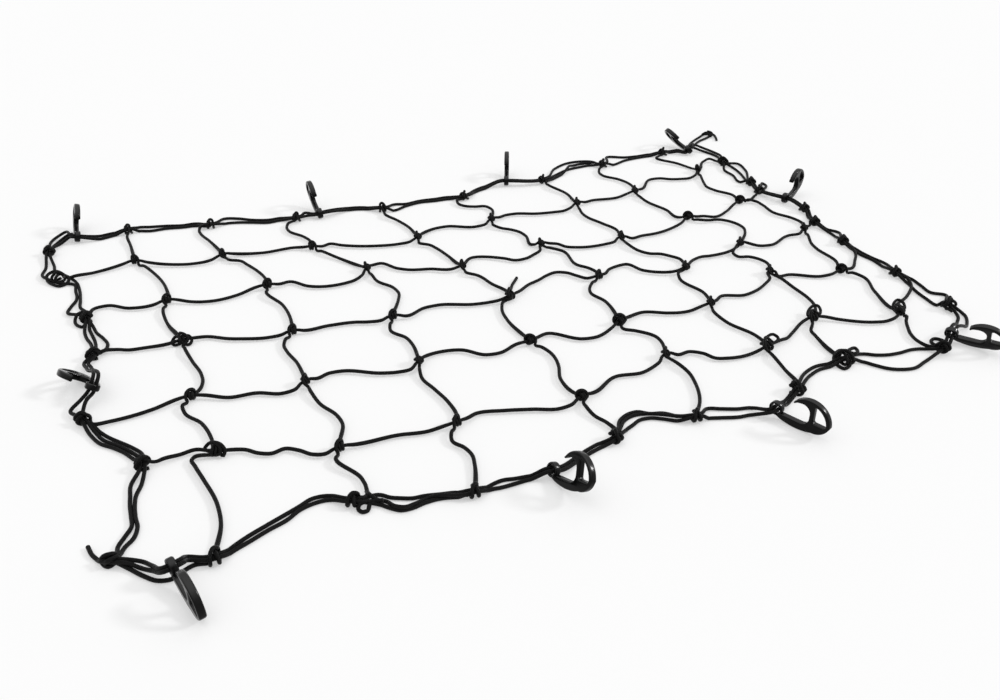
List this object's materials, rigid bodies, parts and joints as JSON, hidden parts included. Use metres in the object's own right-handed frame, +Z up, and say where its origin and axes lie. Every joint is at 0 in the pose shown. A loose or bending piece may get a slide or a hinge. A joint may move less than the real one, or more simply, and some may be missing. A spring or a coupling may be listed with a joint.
{
  "type": "elastic cargo net",
  "caption": "Rectangular net of knotted woven elastic cord with a doubled border and flat moulded hooks hinged on it, for holding a load down on a rack or in a vehicle.",
  "frame": {"origin": "centre of the laid-out net on the floor that it lies on", "axes": "+X along the long side to the right, +Y along the short side to the rear, +Z up"},
  "size_m": [0.9274, 0.7264, 0.0387],
  "materials": {
    "cord": "matte black woven sheath over rubber strands",
    "hook": "satin black moulded plastic"
  },
  "bodies": {
    "net": {"row_cord_1": "cord", "row_cord_2": "cord", "row_cord_3": "cord", "row_cord_4": "cord", "row_cord_5": "cord", "column_cord_1": "cord", "column_cord_2": "cord", "column_cord_3": "cord", "column_cord_4": "cord", "column_cord_5": "cord", "column_cord_6": "cord", "column_cord_7": "cord", "column_cord_8": "cord", "border_cord_outer": "cord", "border_cord_inner": "cord"},
    "hook_front_left": {"hook_front_left": "hook"},
    "hook_front_mid_left": {"hook_front_mid_left": "hook"},
    "hook_front_mid_right": {"hook_front_mid_right": "hook"},
    "hook_front_right": {"hook_front_right": "hook"},
    "hook_left": {"hook_left": "hook"},
    "hook_rear_left": {"hook_rear_left": "hook"},
    "hook_rear_mid_left": {"hook_rear_mid_left": "hook"},
    "hook_rear_mid_right": {"hook_rear_mid_right": "hook"},
    "hook_rear_right": {"hook_rear_right": "hook"},
    "hook_right": {"hook_right": "hook"}
  },
  "joints": [
    {"name": "front_left_hook_swing", "type": "hinge", "parent": "net", "child": "hook_front_left", "pos_m": [-0.401, -0.31123, 0.01708], "axis": [-0.972, -0.225, -0.0677], "range_deg": [0, 150]},
    {"name": "front_mid_left_hook_swing", "type": "hinge", "parent": "net", "child": "hook_front_mid_left", "pos_m": [-0.103, -0.31023, 0.00709], "axis": [-0.9508, -0.0928, 0.2955], "range_deg": [0, 130]},
    {"name": "front_mid_right_hook_swing", "type": "hinge", "parent": "net", "child": "hook_front_mid_right", "pos_m": [0.113, -0.31423, 0.0103], "axis": [-0.9336, -0.3584, 0], "range_deg": [0, 150]},
    {"name": "front_right_hook_swing", "type": "hinge", "parent": "net", "child": "hook_front_right", "pos_m": [0.351, -0.27723, 0.0103], "axis": [-0.7623, -0.5035, -0.4067], "range_deg": [0, 140]},
    {"name": "left_hook_swing", "type": "hinge", "parent": "net", "child": "hook_left", "pos_m": [-0.433, -0.04823, 0.01636], "axis": [0.5086, 0.331, 0.7948], "range_deg": [0, 165]},
    {"name": "rear_left_hook_swing", "type": "hinge", "parent": "net", "child": "hook_rear_left", "pos_m": [-0.423, 0.31277, 0.00789], "axis": [0.9667, -0.0101, -0.2556], "range_deg": [0, 130]},
    {"name": "rear_mid_left_hook_swing", "type": "hinge", "parent": "net", "child": "hook_rear_mid_left", "pos_m": [-0.142, 0.26677, 0.00677], "axis": [0.9945, -0.0271, 0.101], "range_deg": [0, 120]},
    {"name": "rear_mid_right_hook_swing", "type": "hinge", "parent": "net", "child": "hook_rear_mid_right", "pos_m": [0.114, 0.27077, 0.00726], "axis": [0.9063, -0.4226, 0], "range_deg": [0, 130]},
    {"name": "rear_right_hook_swing", "type": "hinge", "parent": "net", "child": "hook_rear_right", "pos_m": [0.401, 0.27277, 0.00781], "axis": [0.7679, -0.0404, 0.6393], "range_deg": [0, 130]},
    {"name": "right_hook_swing", "type": "hinge", "parent": "net", "child": "hook_right", "pos_m": [0.419, 0.07377, 0.00695], "axis": [0.4848, -0.8746, 0], "range_deg": [0, 125]}
  ]
}
